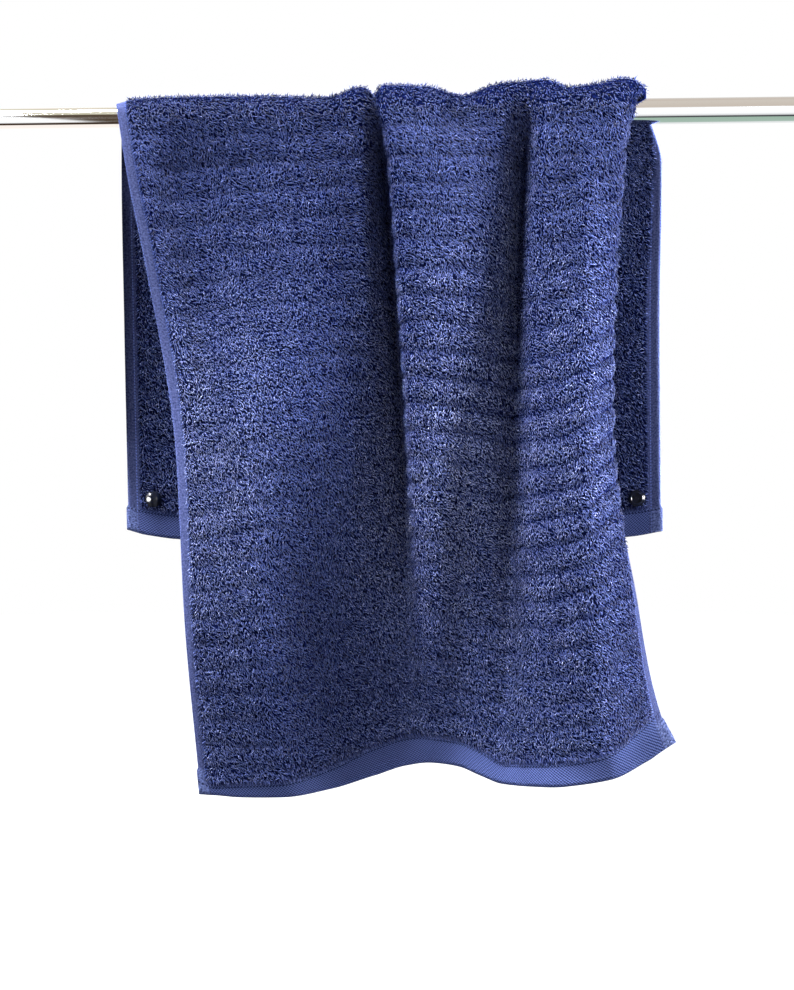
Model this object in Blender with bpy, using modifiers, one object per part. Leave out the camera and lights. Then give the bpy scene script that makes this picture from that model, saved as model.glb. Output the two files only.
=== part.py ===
"""A terry hand towel draped over a telescopic rod, with half a press stud near each back corner.

Metres, +Z up. The rod runs along +X from the origin, which is the middle of its left end face.
The longer half of the towel hangs in front of the rod, towards -Y, and the shorter half behind it.
"""

import math

import bpy
import numpy as np
from mathutils import Matrix, Vector

MM = 0.001
GAP = 0.3 * MM

# Rod: a thin tube that slides in a thick one, drawn out and held at both ends.
ROD_LENGTH = 720 * MM
THIN_RADIUS = 8.75 * MM
THICK_RADIUS = 10.9 * MM
THICK_START = 455 * MM
TUBE_OVERLAP = 60 * MM
ROD_CHAMFER = 0.5 * MM
ROD_SIDES = 32

# Towel: about 485 mm wide and 1000 mm long when it lies flat.
DRAPE_X = 360 * MM
PILE_THICKNESS = 6.6 * MM
RIB_GROOVE_SHARE = 0.56
WOVEN_SHARE = 0.36
SELVEDGE = 10.0
HEM = 22.0
PILE_STEP = 2.0

# Ribs across the towel lie wider apart at the rod than at the hems.
RIB_PITCH_ROD = 25.5
RIB_PITCH_FRONT_HEM = 21.0
RIB_PITCH_BACK_HEM = 23.0

# The way along the cloth, from the crest over the rod: the wrap to each side, then the drop.
WRAP = 20.4
WRAP_STEPS = 4
FRONT_DROP = 575.0
BACK_DROP = 370.0

# The right margin curls back behind the front half.
MARGIN = 24.0

# Levels along the cloth, with the share of the drop that each has come down.
BACK_LEVELS = {"back_hem": 1.0, "back_half": 0.5, "back_top": 0.12, "back_collar": 0.0}
FRONT_LEVELS = {
    "collar": 0.0,
    "shoulder": 0.09,
    "chest": 0.24,
    "waist": 0.49,
    "skirt": 0.75,
    "band": 0.955,
    "hem": 1.0,
}

# Where each fold line lies across the towel, in mm from the drape's centre line, level by level.
# Columns: back_hem, back_half, back_top, back_collar, crest, then the front levels in order.
ACROSS = {
    "selvedge": (-240, -244, -246, -246, -246.5, -243.5, -234, -215, -190, -181.5, -171, -168.5),
    "border": (-227, -231, -233, -233, -233.5, -230.5, -221, -202.5, -177.5, -169, -158.5, -156),
    "hollow": (-200, -202, -200, -198, -190, -190, -192, -178, -156, -148, -136, -134),
    "left_roll": (-150, -152, -150, -146, -132, -134, -140, -136, -128, -112, -98, -96),
    "slope": (-98, -98, -92, -86, -60, -62, -72, -74, -76, -70, -56, -55),
    "left_lip": (-52, -50, -46, -42, -30, -30, -31, -30, -24, -22, -20, -18),
    "deep_fold": (-28, -26, -24, -22, -20.5, -17, -10, -4, 5, 10, 10, 10),
    "right_lip": (-4, -4, -4, -6, -12, -8, 0, 6.5, 16, 22, 24, 26),
    "ridge": (28, 28, 28, 30, 26, 28, 32, 36, 38, 36, 35, 36),
    "dimple": (62, 62, 62, 60, 58, 59, 60, 62, 60, 56, 54, 54),
    "second_lip": (90, 90, 90, 88, 84, 88, 89, 84, 78, 78, 74, 74),
    "second_fold": (115, 115, 115, 114, 109, 112, 107.5, 104, 102, 98, 92, 92),
    "far_lip": (138, 138, 138, 136, 132, 129, 126, 122, 117, 114, 114, 116),
    "dip": (158, 158, 158, 152, 146, 148, 150, 148, 143, 140, 142, 144),
    "right_roll": (180, 180, 180, 178, 168, 167, 164, 161, 160, 165, 175, 179),
    "margin": (207, 206, 208, 204, 193, 184, 185, 181, 179, 189, 207, 215),
}

# How far each fold line stands out from the rod's axis, in mm, in the same columns.
OUT = {
    "selvedge": (14, 14, 12, 11.5, 10.8, 11.5, 19, 24, 25, 26, 22, 21),
    "border": (16, 15.5, 13.8, 13.5, 13.6, 13.9, 16, 20, 27, 30, 25, 24),
    "hollow": (20, 18, 15, 14, 15, 14.5, 3, 5, 30, 37, 29, 27),
    "left_roll": (26, 22, 18, 16, 15, 16, 8, 11, 41, 43, 32, 29),
    "slope": (12, 12, 13, 13, 12.7, 17, 16, 20, 38, 22, 11, 9),
    "left_lip": (22, 20, 19, 20, 21.9, 22, 18, 17, 14, 2, -7, -9),
    "deep_fold": (27, 27, 19, 16, 13.8, 12.8, -6, -12, -13, -10, -16, -18),
    "right_lip": (30, 26, 22, 20, 22.6, 25, 27, 26, 24, 8, -14, -18),
    "ridge": (30, 27, 22, 20, 21, 24, 29, 32, 34, 14, -9, -14),
    "dimple": (18, 17, 16, 15, 12.8, 20, 27, 29, 27, 10, -4, -6),
    "second_lip": (24, 24, 21, 20, 21.5, 24, 20, 16, 17, 6, 6, 8),
    "second_fold": (20, 21, 18, 17, 25, 18, -3, -10, -2, 1, 14, 17),
    "far_lip": (26, 25, 23, 22, 25.5, 27, 28, 27, 26, 24, 34, 37),
    "dip": (28, 26, 24, 20, 18.5, 25, 28, 32, 45, 41, 47, 51),
    "right_roll": (20, 20, 20, 19, 20, 26, 30, 37, 51, 52, 51, 50),
    "margin": (15, 16, 17, 19, 25, 28, 27, 30, 37, 42, 34, 31),
}

# How far the right margin turns back, in degrees, in the same columns.
MARGIN_TURN = (8, 8, 16, 30, 60, 70, 135, 145, 120, 60, 20, -15)

# How far each fold line's ends hang below the rod's axis, in mm: front hem, back hem.
HANG = {
    "selvedge": (591.4, 364),
    "border": (591.4, 368),
    "hollow": (592.3, 372),
    "left_roll": (591.5, 374),
    "slope": (587.5, 374),
    "left_lip": (578.9, 373),
    "deep_fold": (571.8, 373),
    "right_lip": (569.5, 372),
    "ridge": (569.1, 372),
    "dimple": (570.4, 372),
    "second_lip": (576, 371),
    "second_fold": (581, 371),
    "far_lip": (579, 371),
    "dip": (576, 371),
    "right_roll": (570.3, 371),
    "margin": (556.8, 369),
    "corner": (544, 364.5),
}

# How far the ribs sag at each fold line halfway down the front, in mm: they follow the slant of
# the edges there and come back level towards the rod and the hem.
RIB_SAG = {
    "selvedge": 10.0,
    "border": 9.0,
    "hollow": 5.0,
    "left_roll": 0.0,
    "slope": -4.0,
    "left_lip": -5.0,
    "deep_fold": -4.5,
    "right_lip": -4.0,
    "ridge": -2.0,
    "dimple": -1.0,
    "second_lip": 0.5,
    "second_fold": 1.0,
    "far_lip": 1.0,
    "dip": 0.0,
    "right_roll": -1.5,
    "margin": -3.0,
    "corner": -3.5,
}

# Points that a cross section is worked out at, before the margin and along it.
SECTION_POINTS = 500
MARGIN_POINTS = 48

# Columns of the cloth's mesh, as places in the list of fold lines; 0.5 is halfway to the next.
MESH_LINES = (1.5, 2, 3, 4, 4.5, 5, 5.4, 5.75, 6, 6.3, 6.65, 7, 7.5, 8)
MESH_LINES += (9, 10, 10.5, 10.8, 11, 11.4, 11.8, 12.2, 12.7, 13.2, 14, 15)
MESH_MARGIN = (6.0, MARGIN - SELVEDGE - PILE_STEP, MARGIN - SELVEDGE, MARGIN)

# Press stud halves, through the back half near its corners. The left one works on the outer face
# and the right one on the inner face, so that the two corners close on each other.
STUD_FROM_SIDE = 23.0
SOCKET_FROM_SIDE = 20.5
SNAP_FROM_HEM = 33.0
SNAP_RADIUS = 7.2 * MM
SNAP_FLANGE = 1.3 * MM
STUD_BULB_RADIUS = 3.4 * MM
STUD_NECK_RADIUS = 2.7 * MM
STUD_TOP_RADIUS = 2.0 * MM
STUD_HEIGHT = 3.6 * MM
SOCKET_HEIGHT = 3.0 * MM
SOCKET_RIM_RADIUS = 6.0 * MM
SOCKET_WELL_RADIUS = 4.0 * MM
SOCKET_RIVET_RADIUS = 1.8 * MM
SOCKET_RIVET_HEIGHT = 0.9 * MM
CAP_HEIGHT = 2.8 * MM
CAP_RIM = 0.6 * MM
CAP_STEPS = 7
SNAP_SIDES = 24


def clear_scene():
    for obj in list(bpy.data.objects):
        bpy.data.objects.remove(obj, do_unlink=True)


def new_collection(name):
    collection = bpy.data.collections.new(name)
    bpy.context.scene.collection.children.link(collection)
    return collection


def new_material(name, colour, roughness, metallic=0.0):
    material = bpy.data.materials.new(name)
    material.use_nodes = True
    shader = material.node_tree.nodes["Principled BSDF"]
    shader.inputs["Base Color"].default_value = (*colour, 1.0)
    shader.inputs["Roughness"].default_value = roughness
    shader.inputs["Metallic"].default_value = metallic
    return material


def smooth_curve(knots, values, at):
    """Monotone cubic through the values at the knots, so that no fold overshoots its own lines."""
    knots = np.asarray(knots, float)
    values = np.asarray(values, float)
    at = np.clip(np.atleast_1d(np.asarray(at, float)), knots[0], knots[-1])
    step = np.diff(knots)
    slope = np.diff(values) / step
    tangent = np.zeros_like(values)
    tangent[0] = slope[0]
    tangent[-1] = slope[-1]
    for i in range(1, len(knots) - 1):
        if slope[i - 1] * slope[i] > 0:
            before = 2 * step[i] + step[i - 1]
            after = step[i] + 2 * step[i - 1]
            tangent[i] = (before + after) / (before / slope[i - 1] + after / slope[i])
    i = np.clip(np.searchsorted(knots, at, side="right") - 1, 0, len(knots) - 2)
    t = (at - knots[i]) / step[i]
    start = (2 * t**3 - 3 * t**2 + 1) * values[i] + (t**3 - 2 * t**2 + t) * step[i] * tangent[i]
    end = (3 * t**2 - 2 * t**3) * values[i + 1] + (t**3 - t**2) * step[i] * tangent[i + 1]
    return start + end


LEVEL_WAYS = (
    [-(WRAP + BACK_DROP * share) for share in BACK_LEVELS.values()]
    + [0.0]
    + [WRAP + FRONT_DROP * share for share in FRONT_LEVELS.values()]
)


def at_level(row, way):
    """One fold line's value, from its row of a table, at a way along the cloth."""
    return float(smooth_curve(LEVEL_WAYS, row, way)[0])


def cross_section(way):
    """The cloth cut across at a way along it: across and out in mm, each point's place in the
    list of fold lines, and its length from the left edge."""
    across = [at_level(row, way) for row in ACROSS.values()]
    out = [at_level(row, way) for row in OUT.values()]
    chord = np.concatenate([[0], np.cumsum(np.hypot(np.diff(across), np.diff(out)))])
    fine = np.linspace(0, chord[-1], SECTION_POINTS)
    x = smooth_curve(chord, across, fine)
    y = smooth_curve(chord, out, fine)
    place = np.interp(fine, chord, np.arange(len(chord)))
    heading = math.atan2(y[-1] - y[-4], x[-1] - x[-4])
    curl = np.linspace(0, MARGIN, MARGIN_POINTS + 1)[1:]
    angle = heading - math.radians(at_level(MARGIN_TURN, way)) * curl / MARGIN
    x = np.concatenate([x, x[-1] + np.cumsum(np.cos(angle)) * curl[0]])
    y = np.concatenate([y, y[-1] + np.cumsum(np.sin(angle)) * curl[0]])
    place = np.concatenate([place, len(chord) - 1 + curl / MARGIN])
    length = np.concatenate([[0], np.cumsum(np.hypot(np.diff(x), np.diff(y)))])
    return x, y, place, length


def sagged(way, place):
    """The way along the cloth of a rib that would lie at the given way, were it level."""
    if way <= WRAP:
        return np.full(len(place), way)
    share = (way - WRAP) / FRONT_DROP
    sag = smooth_curve(np.arange(len(RIB_SAG)), list(RIB_SAG.values()), place)
    return way + sag * 4 * share * (1 - share)


def hang(way, x, out, place):
    """Points of the draped cloth in metres, for points of its cross section at a way along it."""
    front, back = np.array(list(HANG.values())).T
    if abs(way) <= WRAP:
        angle = way / WRAP * math.pi / 2
        y = -out * math.sin(angle)
        z = out * math.cos(angle)
    elif way > 0:
        y = -out
        z = -smooth_curve(np.arange(len(front)), front, place) * (way - WRAP) / FRONT_DROP
    else:
        y = out
        z = -smooth_curve(np.arange(len(back)), back, place) * (-way - WRAP) / BACK_DROP
    points = np.stack([x, y, z], axis=1) * MM
    points[:, 0] += DRAPE_X
    return points


def cloth_row(way):
    """The points of the mesh along one rib or groove."""
    x, out, place, length = cross_section(way)
    seam = np.interp([0, SELVEDGE, SELVEDGE + PILE_STEP], length, place)
    margin = len(ACROSS) - 1 + np.array(MESH_MARGIN) / MARGIN
    columns = np.concatenate([seam, MESH_LINES, margin])
    row = []
    for column, own_way in zip(columns, sagged(way, columns)):
        x, out, place, length = cross_section(own_way)
        here = np.array([column])
        row.append(hang(own_way, np.interp(here, place, x), np.interp(here, place, out), here)[0])
    return row


def rib_way(ribs, pitch_at_hem, drop):
    """The way from the crest to a number of ribs, whose pitch shrinks evenly towards the hem."""
    shrink = (RIB_PITCH_ROD - pitch_at_hem) / (WRAP + drop)
    return RIB_PITCH_ROD * (1 - math.exp(-shrink * ribs)) / shrink


def half_rows(pitch_at_hem, drop):
    """(way, thickness share) of each row from the first rib below the wrap: groove, rib ... hem."""
    rows = []
    end = WRAP + drop
    pile_end = end - HEM - PILE_STEP
    half_ribs = 2
    while rib_way(half_ribs / 2, pitch_at_hem, drop) < pile_end - 2 * PILE_STEP:
        share = RIB_GROOVE_SHARE if half_ribs % 2 else 1.0
        rows.append((rib_way(half_ribs / 2, pitch_at_hem, drop), share))
        half_ribs += 1
    rows.append((pile_end, 1.0))
    rows.append((end - HEM, WOVEN_SHARE))
    rows.append((end, WOVEN_SHARE))
    return rows


def cloth_rows():
    """(way, thickness share) of every row, from the back hem over the rod to the front hem."""
    back = [(-way, share) for way, share in half_rows(RIB_PITCH_BACK_HEM, BACK_DROP)]
    wrap = []
    for step in range(-WRAP_STEPS, WRAP_STEPS + 1):
        way = WRAP * step / WRAP_STEPS
        wave = (1 + math.cos(2 * math.pi * way / RIB_PITCH_ROD)) / 2
        wrap.append((way, RIB_GROOVE_SHARE + (1 - RIB_GROOVE_SHARE) * wave))
    return back[::-1] + wrap + half_rows(RIB_PITCH_FRONT_HEM, FRONT_DROP)


def build_towel(collection, material):
    """The cloth: its middle surface is draped over the rod, then given the height of its pile.
    Hems and selvedges are part of it, woven flat and thinner."""
    rows = cloth_rows()
    surface = [cloth_row(way) for way, share in rows]
    columns = len(surface[0])
    bpy.ops.mesh.primitive_grid_add(x_subdivisions=columns - 1, y_subdivisions=len(rows) - 1)
    towel = bpy.context.object
    towel.name = "towel"
    towel.data.vertices.foreach_set("co", np.concatenate(surface).ravel())
    height = towel.vertex_groups.new(name="pile_height")
    for row, (way, share) in enumerate(rows):
        for column in range(columns):
            in_selvedge = column < 2 or column >= columns - 2
            weight = WOVEN_SHARE if in_selvedge else share
            height.add([row * columns + column], weight, "REPLACE")
    solidify = towel.modifiers.new("pile", "SOLIDIFY")
    solidify.thickness = PILE_THICKNESS
    solidify.offset = 0.0
    solidify.vertex_group = height.name
    finish(towel, collection, material)
    return towel


def finish(obj, collection, material):
    for owner in list(obj.users_collection):
        owner.objects.unlink(obj)
    collection.objects.link(obj)
    obj.data.materials.clear()
    obj.data.materials.append(material)
    obj.data.shade_smooth()
    obj.data.set_sharp_from_angle(angle=math.radians(40))


def turned(name, profile, sides, collection, material):
    """A piece turned about its own +Z axis; the profile runs from the top down its outer side."""
    mesh = bpy.data.meshes.new(name)
    edges = [(i, i + 1) for i in range(len(profile) - 1)]
    mesh.from_pydata([(radius, 0, height) for radius, height in profile], edges, [])
    piece = bpy.data.objects.new(name, mesh)
    screw = piece.modifiers.new("turn", "SCREW")
    screw.steps = sides
    screw.render_steps = sides
    screw.use_merge_vertices = True
    screw.merge_threshold = 0.00001
    finish(piece, collection, material)
    return piece


def build_rod(collection, material):
    """Two plain tubes: the thin one reaches into the thick one's bore."""
    thin_length = THICK_START + TUBE_OVERLAP
    thin = turned(
        "rod_inner_tube",
        [
            (0, thin_length),
            (THIN_RADIUS - ROD_CHAMFER, thin_length),
            (THIN_RADIUS, thin_length - ROD_CHAMFER),
            (THIN_RADIUS, ROD_CHAMFER),
            (THIN_RADIUS - ROD_CHAMFER, 0),
            (0, 0),
        ],
        ROD_SIDES,
        collection,
        material,
    )
    thick_length = ROD_LENGTH - THICK_START
    bore = THIN_RADIUS + GAP
    thick = turned(
        "rod_outer_tube",
        [
            (0, thick_length),
            (THICK_RADIUS - ROD_CHAMFER, thick_length),
            (THICK_RADIUS, thick_length - ROD_CHAMFER),
            (THICK_RADIUS, ROD_CHAMFER),
            (THICK_RADIUS - ROD_CHAMFER, 0),
            (bore, 0),
            (bore, TUBE_OVERLAP + GAP),
            (0, TUBE_OVERLAP + GAP),
        ],
        ROD_SIDES,
        collection,
        material,
    )
    thick.location.x = THICK_START
    for tube in (thin, thick):
        tube.rotation_euler.y = math.pi / 2
    return [thin, thick]


def arc(centre, radius, start, end, steps):
    """Points of a profile on a round: centre and points as (radius, height), angles in degrees."""
    angles = [math.radians(start + (end - start) * i / steps) for i in range(steps + 1)]
    return [(centre[0] + radius * math.cos(a), centre[1] + radius * math.sin(a)) for a in angles]


def flange_side():
    """The outer side of a press stud half: a rounded flange down to its flat seat."""
    half = SNAP_FLANGE / 2
    return arc((SNAP_RADIUS - half, half), half, 90, -90, 4) + [(0, 0)]


def stud_profile():
    bulb_height = STUD_HEIGHT - SNAP_FLANGE
    bulb = [
        (0, STUD_HEIGHT),
        (STUD_TOP_RADIUS, STUD_HEIGHT - bulb_height * 0.08),
        (STUD_BULB_RADIUS, STUD_HEIGHT - bulb_height * 0.4),
        (STUD_NECK_RADIUS, SNAP_FLANGE + bulb_height * 0.2),
        (STUD_NECK_RADIUS, SNAP_FLANGE),
    ]
    return bulb + flange_side()


def socket_profile():
    wall = SOCKET_RIM_RADIUS - SOCKET_WELL_RADIUS
    rivet_top = SNAP_FLANGE + SOCKET_RIVET_HEIGHT
    rivet_edge = SOCKET_RIVET_HEIGHT / 2
    rivet = [
        (0, rivet_top),
        (SOCKET_RIVET_RADIUS - rivet_edge, rivet_top),
        (SOCKET_RIVET_RADIUS, rivet_top - rivet_edge),
        (SOCKET_RIVET_RADIUS, SNAP_FLANGE),
    ]
    well = rivet + [(SOCKET_WELL_RADIUS, SNAP_FLANGE)]
    rim = arc((SOCKET_WELL_RADIUS + wall / 2, SOCKET_HEIGHT - wall / 2), wall / 2, 180, 0, 6)
    return well + rim + [(SOCKET_RIM_RADIUS, SNAP_FLANGE)] + flange_side()


def cap_profile():
    rise = CAP_HEIGHT - CAP_RIM
    turns = [math.pi / 2 * step / CAP_STEPS for step in range(CAP_STEPS + 1)]
    dome = [(SNAP_RADIUS * math.sin(turn), CAP_RIM + rise * math.cos(turn)) for turn in turns]
    under = [(SNAP_RADIUS, CAP_RIM / 2), (SNAP_RADIUS - CAP_RIM / 2, 0), (0, 0)]
    return dome + under


def back_corner_frame(from_left):
    """A frame on the middle of the cloth near a back corner, its +Z towards the rod's side."""
    way = -(WRAP + BACK_DROP - SNAP_FROM_HEM)

    def point(along, over):
        x, out, place, length = cross_section(along)
        columns = np.interp([over], length, place)
        across_out = np.interp([over], length, x), np.interp([over], length, out)
        return Vector(hang(along, *across_out, columns)[0])

    step = 2.0
    middle = point(way, from_left)
    sideways = (point(way, from_left + step) - point(way, from_left - step)).normalized()
    upwards = point(way + step, from_left) - point(way - step, from_left)
    normal = sideways.cross(upwards).normalized()
    upwards = normal.cross(sideways)
    return Matrix((sideways, upwards, normal)).transposed().to_4x4(), middle


def build_snap(name, profile, from_left, works_inside, collection, material):
    """One press stud half and its cap, on the two faces of the cloth."""
    turn, middle = back_corner_frame(from_left)
    inside = Matrix.Translation(middle) @ turn
    outside = inside @ Matrix.Rotation(math.pi, 4, "X")
    seat = Matrix.Translation((0, 0, PILE_THICKNESS / 2 + GAP))
    half = turned(name, profile, SNAP_SIDES, collection, material)
    cap = turned(name + "_cap", cap_profile(), SNAP_SIDES, collection, material)
    half.matrix_world = (inside if works_inside else outside) @ seat
    cap.matrix_world = (outside if works_inside else inside) @ seat
    return [half, cap]


clear_scene()
parts = new_collection("hand_towel_on_rod")
terry = new_material("navy_terry", (0.047, 0.058, 0.165), 0.95)
chrome = new_material("chrome", (0.8, 0.8, 0.8), 0.08, 1.0)
snap_plastic = new_material("snap_plastic", (0.012, 0.016, 0.05), 0.2)

pieces = [build_towel(parts, terry)]
pieces += build_rod(parts, chrome)
back_width = cross_section(-(WRAP + BACK_DROP - SNAP_FROM_HEM))[3][-1]
socket_place = back_width - SOCKET_FROM_SIDE
pieces += build_snap("snap_stud", stud_profile(), STUD_FROM_SIDE, False, parts, snap_plastic)
pieces += build_snap("snap_socket", socket_profile(), socket_place, True, parts, snap_plastic)

holder = bpy.data.objects.new("hand_towel_on_rod", None)
parts.objects.link(holder)
for piece in pieces:
    piece.parent = holder
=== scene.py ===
"""A navy terry hand towel draped over a chromed telescopic rod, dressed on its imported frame."""

import math

import bpy
import numpy as np
from mathutils import Matrix, Vector


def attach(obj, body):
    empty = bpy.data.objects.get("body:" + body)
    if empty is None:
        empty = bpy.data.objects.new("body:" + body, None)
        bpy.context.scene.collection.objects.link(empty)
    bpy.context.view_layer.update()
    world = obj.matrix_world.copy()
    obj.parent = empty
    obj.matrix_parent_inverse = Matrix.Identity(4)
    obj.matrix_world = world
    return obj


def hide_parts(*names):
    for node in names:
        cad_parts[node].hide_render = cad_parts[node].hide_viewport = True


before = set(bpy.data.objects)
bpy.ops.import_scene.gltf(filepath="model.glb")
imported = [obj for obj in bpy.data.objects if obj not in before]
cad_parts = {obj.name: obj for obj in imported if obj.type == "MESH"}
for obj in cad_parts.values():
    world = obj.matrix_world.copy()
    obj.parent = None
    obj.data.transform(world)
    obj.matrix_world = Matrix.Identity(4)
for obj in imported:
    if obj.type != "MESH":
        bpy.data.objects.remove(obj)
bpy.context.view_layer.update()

# Studio: a floor well below the hem, soft lamps all round, and a camera level with the middle of
# the cloth. Floor and room are white where the camera sees them and dim where they light the
# cloth. The rod's chrome mirrors the room's warm and dark bands.
FLOOR_Z = -1.0
FLOOR_RADIUS = 7.0
FLOOR_GREY = "5A5A5C"
MIDDLE_X = 0.36
CAMERA_AWAY = 1.25
CAMERA_TURN = math.atan(0.0456)
CAMERA_Z = -0.3327
SENSOR_HEIGHT = 36
CAMERA_LENS = SENSOR_HEIGHT * 1430 / 990
LAMP_AIM_Z = -0.3
LAMPS = {
    "lamp_key": {"at": (-0.467, -0.386, 1.28), "size": 0.6, "watts": 265, "tint": "FFFFFF"},
    "lamp_window": {"at": (-1.119, -0.82, 0.366), "size": 0.9, "watts": 26, "tint": "FFFFFF"},
    "lamp_front": {"at": (1.256, -1.553, -0.1), "size": 0.9, "watts": 10, "tint": "FFFFFF"},
    "lamp_right": {"at": (2.13, -0.13, 0.06), "size": 0.6, "watts": 300, "tint": "FFFDFA"},
    "lamp_back": {"at": (0.9, 1.7, -0.4), "size": 1.0, "watts": 60, "tint": "FFFFFF"},
    "lamp_margin": {"at": (0.80, -0.22, -0.2), "size": 0.25, "watts": 1.0, "tint": "FFFFFF"},
}
UNMIRRORED = ("lamp_back", "lamp_margin")
# Windows that light nothing and are only mirrored, placed for the press studs.
GLINTS = {
    "glint_window": {"at": (-0.77, -1.22, -0.33), "size": 0.8, "watts": 230, "tint": "FFFFFF"},
    "glint_top": {"at": (-0.52, -0.97, 0.59), "size": 0.4, "watts": 50, "tint": "FFFFFF"},
    "glint_right": {"at": (1.84, -0.59, -0.22), "size": 0.9, "watts": 700, "tint": "FFFFFF"},
}
ROOM_LIGHT = 0.06
ROOM_TINT = "E4EBFF"
ROOM_MIRRORED = 1.3
WHITE = (1, 1, 1, 1)
# What the chrome mirrors, from straight down (0) to straight up (1): before the rod and behind it,
# to the left and to the right.
FRONT_LEFT = (
    (0.0, "6A5040"), (0.02, "3A2A1E"), (0.05, "3A2A1E"), (0.07, "4C3E30"),
    (0.68, "54463A"), (0.73, "C9C3AA"), (1.0, "D3CEBA"),
)
FRONT_RIGHT = (
    (0.0, "9FB8A8"), (0.02, "9FB8A8"), (0.035, "3C3D41"), (0.06, "3C3D41"), (0.1, "D8DADA"),
    (0.2, "FFFFFF"), (0.64, "FFFFFF"), (0.68, "C9BDB1"), (1.0, "CFC6BB"),
)
BACK_LEFT = ((0.0, "FFF4EC"), (0.5, "FFFAF5"), (0.7, "E8E2D2"), (1.0, "D3CEBA"))
BACK_RIGHT = (
    (0.0, "9FB8A8"), (0.12, "A9BDB2"), (0.2, "E6E8E8"), (0.6, "DADCDC"), (1.0, "C9BDB1"),
)
# A white wedge in the dark band at the far left: a window beyond the rod's end. Its lower edge
# falls this steeply from this height, and it ends above the floor.
WEDGE_FALL = 22.0
WEDGE_HEIGHT = 6.21
WEDGE_BLUR = 0.12
WEDGE_BOTTOM = (-0.9, -0.8)


def linear(hex_colour):
    """An sRGB hex colour as linear red, green, blue and alpha."""
    parts = [int(hex_colour[i : i + 2], 16) / 255 for i in (0, 2, 4)]
    return [c / 12.92 if c <= 0.04045 else ((c + 0.055) / 1.055) ** 2.4 for c in parts] + [1.0]


def add_node(tree, kind, inputs=None, **settings):
    """Adds a node with its settings; an input is a value, or another node's output to link."""
    node = tree.nodes.new(kind)
    for name, value in settings.items():
        setattr(node, name, value)
    for name, value in (inputs or {}).items():
        if isinstance(value, bpy.types.NodeSocket):
            tree.links.new(value, node.inputs[name])
        else:
            node.inputs[name].default_value = value
    return node


def set_ramp(node, stops):
    """Gives a colour ramp its stops: pairs of position and sRGB hex."""
    ramp = node.color_ramp
    while len(ramp.elements) < len(stops):
        ramp.elements.new(0.5)
    for element, (position, colour) in zip(ramp.elements, stops):
        element.position = position
        element.color = linear(colour)


def mix_colours(tree, share, first, second):
    """The output of a node that mixes a share of the second colour into the first."""
    mix = add_node(tree, "ShaderNodeMix", {0: share, 6: first, 7: second}, data_type="RGBA")
    return mix.outputs[2]


def new_material(name):
    """An empty material: its node tree and its Principled shader."""
    material = bpy.data.materials.new(name)
    material.use_nodes = True
    return material, material.node_tree, material.node_tree.nodes["Principled BSDF"]


bpy.ops.object.select_all(action="DESELECT")
bpy.ops.mesh.primitive_circle_add(
    vertices=96, radius=FLOOR_RADIUS, fill_type="NGON", location=(MIDDLE_X, 0, FLOOR_Z)
)
floor = bpy.context.object
floor.name = "floor"
floor_material, tree, shader = new_material("matt_white_paper")
shader.inputs["Base Color"].default_value = linear(FLOOR_GREY)
shader.inputs["Roughness"].default_value = 0.9
shader.inputs["Emission Color"].default_value = WHITE
floor_path = add_node(tree, "ShaderNodeLightPath")
tree.links.new(floor_path.outputs["Is Camera Ray"], shader.inputs["Emission Strength"])
floor.data.materials.append(floor_material)
floor.visible_glossy = False

# A black flag to the left of the back half keeps the key lamp off its inner face.
FLAG_X = 0.098
FLAG_Y = (-0.02, 0.06)
FLAG_Z = (-0.27, -0.005)
flag_middle = (FLAG_X, sum(FLAG_Y) / 2, sum(FLAG_Z) / 2)
bpy.ops.mesh.primitive_plane_add(size=1, rotation=(0, math.pi / 2, 0), location=flag_middle)
flag = bpy.context.object
flag.name = "lamp_flag"
bpy.ops.object.transform_apply(location=False, rotation=True, scale=False)
flag.scale = (1, FLAG_Y[1] - FLAG_Y[0], FLAG_Z[1] - FLAG_Z[0])
bpy.ops.object.transform_apply(location=True, rotation=True, scale=True)
flag_material, tree, shader = new_material("black_felt")
shader.inputs["Base Color"].default_value = (0, 0, 0, 1)
shader.inputs["Specular IOR Level"].default_value = 0.0
flag.data.materials.append(flag_material)
flag.visible_camera = False
flag.visible_glossy = False

for name, lamp in (LAMPS | GLINTS).items():
    light = bpy.data.lights.new(name, "AREA")
    light.shape = "DISK"
    light.size = lamp["size"]
    light.energy = lamp["watts"]
    light.color = linear(lamp["tint"])[:3]
    holder = bpy.data.objects.new(name, light)
    holder.visible_diffuse = name in LAMPS
    holder.visible_glossy = name not in UNMIRRORED
    bpy.context.scene.collection.objects.link(holder)
    aim = Vector((MIDDLE_X, 0, LAMP_AIM_Z)) - Vector(lamp["at"])
    facing = aim.to_track_quat("-Z", "Y").to_matrix().to_4x4()
    holder.matrix_world = Matrix.Translation(lamp["at"]) @ facing

world = bpy.data.worlds.new("soft_room")
world.use_nodes = True
bpy.context.scene.world = world
tree = world.node_tree
place = add_node(tree, "ShaderNodeTexCoord")
direction = add_node(tree, "ShaderNodeSeparateXYZ", {"Vector": place.outputs["Generated"]})


def room_share(axis, start, end):
    """A node that runs from 0 to 1 between two places on one axis of the room."""
    return add_node(
        tree,
        "ShaderNodeMapRange",
        {"Value": direction.outputs[axis], "From Min": start, "From Max": end},
    )


from_below = room_share("Z", -1.0, 1.0)
to_right = room_share("X", -0.1, 0.1)
to_back = room_share("Y", -0.03, 0.03)


def room_side(left_stops, right_stops):
    """The colours mirrored from one side of the rod, the left half mixed into the right half."""
    ramps = []
    for stops in (left_stops, right_stops):
        ramp = add_node(tree, "ShaderNodeValToRGB", {"Fac": from_below.outputs["Result"]})
        set_ramp(ramp, stops)
        ramps.append(ramp.outputs["Color"])
    return mix_colours(tree, to_right.outputs["Result"], *ramps)


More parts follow.
